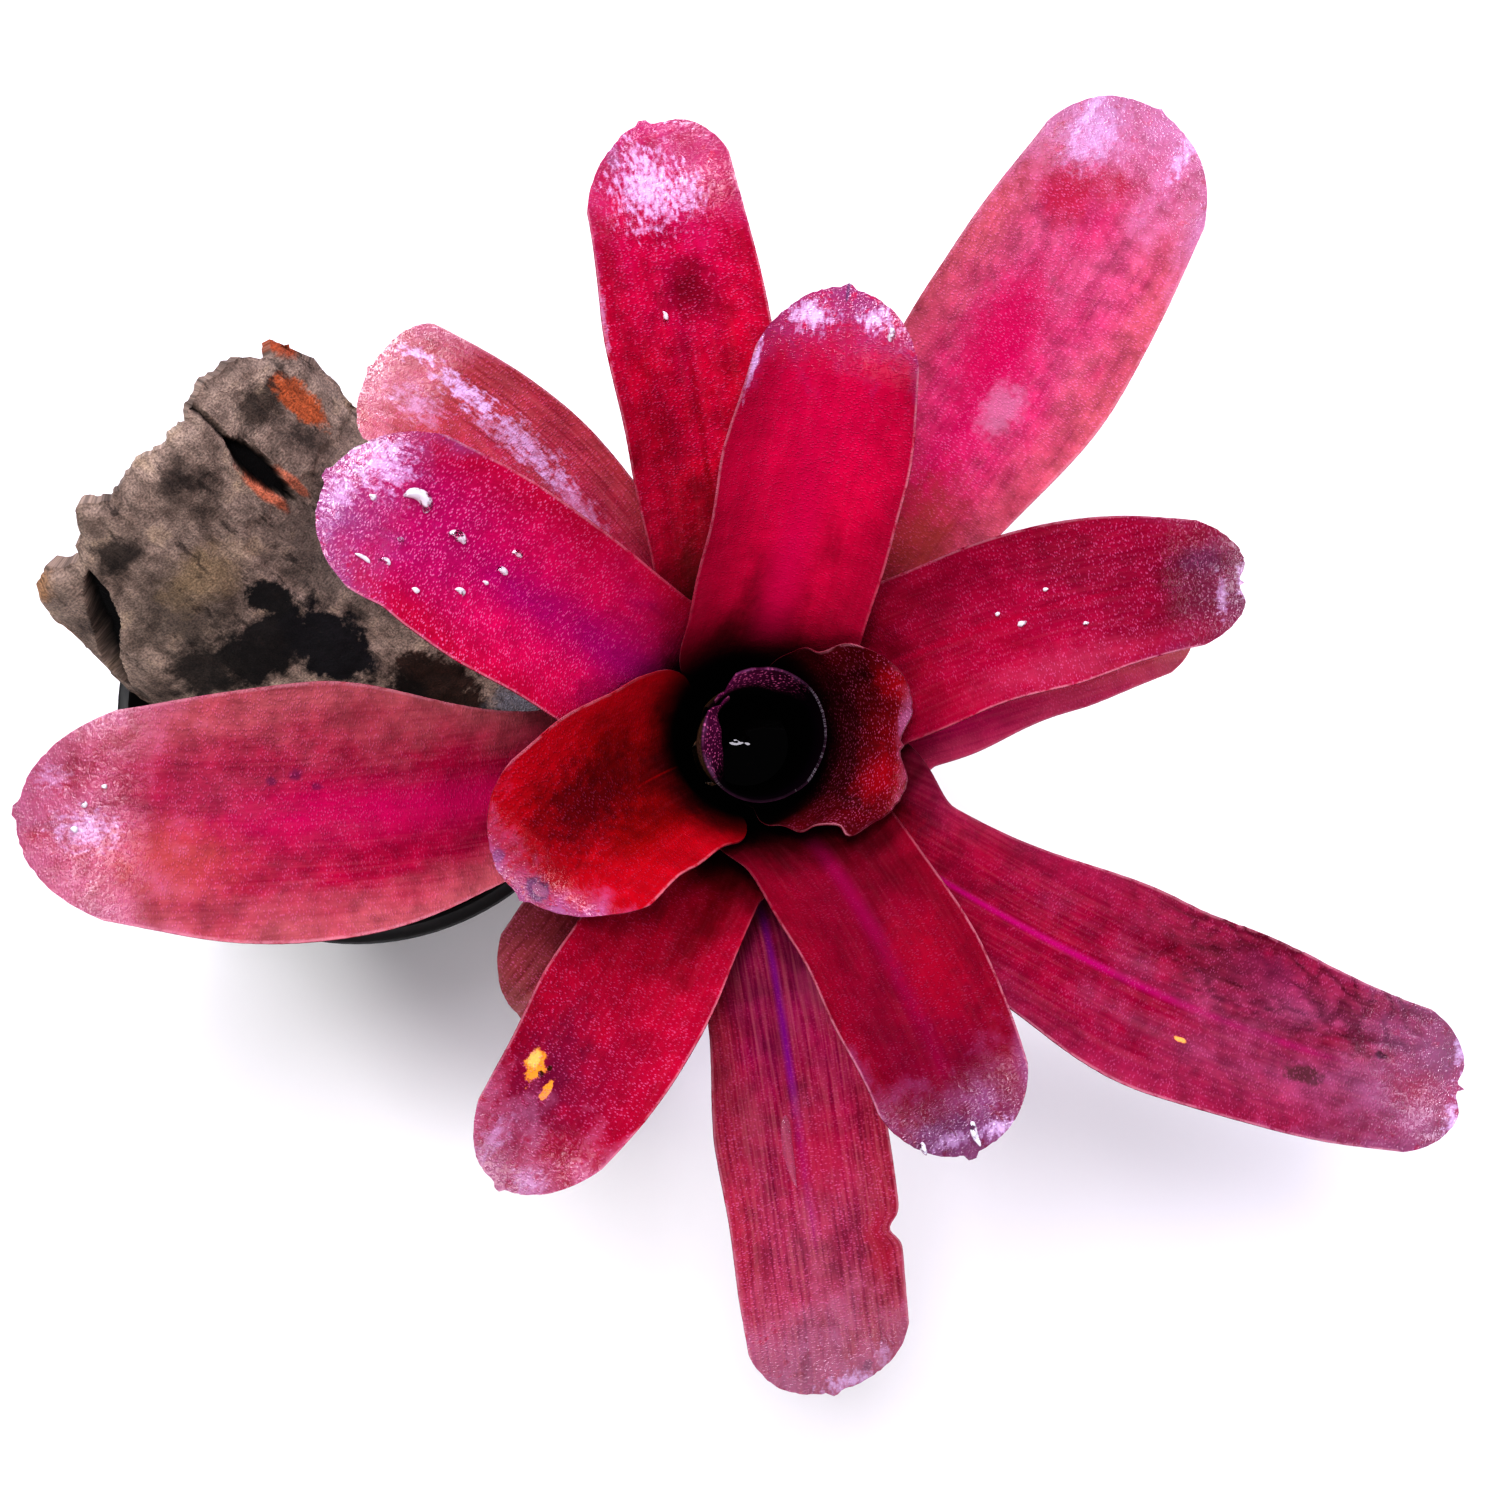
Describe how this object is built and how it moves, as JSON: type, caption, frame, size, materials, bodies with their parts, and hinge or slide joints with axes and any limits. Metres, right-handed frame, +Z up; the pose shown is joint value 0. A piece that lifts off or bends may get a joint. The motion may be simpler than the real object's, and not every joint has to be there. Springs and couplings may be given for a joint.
{
  "type": "potted neoregelia bromeliad",
  "caption": "Crimson strap-leaved bromeliad rosette on a short woody stem, leaning out of a tapered black nursery pot beside a curved slab of old bark.",
  "frame": {"origin": "centre of the pot's base, on the surface it stands on", "axes": "+Z up, +X towards the rosette that leans out over the rim, +Y away from the viewer"},
  "size_m": [0.3491, 0.2957, 0.2585],
  "materials": {
    "leaf_inner": "satin",
    "leaf_outer": "satin",
    "old_bark": "matte",
    "woody_stem": "matte",
    "potting_mix": "matte",
    "pot_plastic": "satin",
    "water": "gloss"
  },
  "bodies": {
    "root": {"bark": "old_bark", "cup_water": "water", "leaf_01_rolled_centre": "leaf_inner", "leaf_02_right_inner": "leaf_inner", "leaf_03_left_inner": "leaf_inner", "leaf_04_top_inner": "leaf_inner", "leaf_05_front_right": "leaf_inner", "leaf_06_left_upper": "leaf_inner", "leaf_07_right": "leaf_inner", "leaf_08_front_left": "leaf_inner", "leaf_09_top": "leaf_inner", "leaf_10_right_long": "leaf_outer", "leaf_11_left_long": "leaf_outer", "leaf_12_top_right": "leaf_outer", "leaf_13_front_long": "leaf_outer", "leaf_14_left_back": "leaf_outer", "leaf_15_right_under": "leaf_outer", "leaf_16_front_left_under": "leaf_outer", "pot": "pot_plastic", "potting_mix": "potting_mix", "stem": "woody_stem"}
  },
  "joints": []
}
